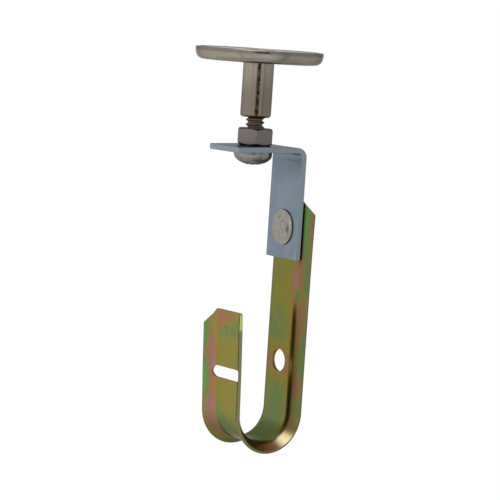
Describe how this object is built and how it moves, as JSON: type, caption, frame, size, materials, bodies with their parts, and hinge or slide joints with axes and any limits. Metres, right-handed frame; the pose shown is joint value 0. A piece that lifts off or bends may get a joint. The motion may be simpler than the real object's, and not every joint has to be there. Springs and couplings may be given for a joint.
{
  "type": "j hook cable support",
  "caption": "Magnet-mounted cable support: a round magnet base, threaded post with lock nut, bent bracket and a riveted J-shaped sheet-metal hook with flared edges.",
  "frame": {"origin": "centre of the magnet's working face, level with the cup's lip", "axes": "+Z out of the magnet's face, towards the steel that holds it; +X from the screw's axis towards the hook's long arm; +Y across the hook's width"},
  "size_m": [0.0428, 0.0428, 0.1346],
  "materials": {
    "nickel_cup": "satin nickel plate",
    "ferrite": "ground dark ferrite",
    "nickel_post": "nickel plate with fine turning marks",
    "nickel_screw": "nickel plate",
    "plain_nut": "dull plated steel",
    "zinc_bracket": "blue-bright zinc plate",
    "rivet_steel": "satin, faintly mottled",
    "yellow_chromate": "yellow chromate on zinc, iridescent"
  },
  "bodies": {
    "root": {"magnet_cup": "nickel_cup", "ring_magnet": "ferrite", "threaded_standoff": "nickel_post", "pan_head_screw": "nickel_screw", "hex_nut": "plain_nut", "angle_bracket": "zinc_bracket", "rivet": "rivet_steel", "j_hook": "yellow_chromate"}
  },
  "joints": []
}
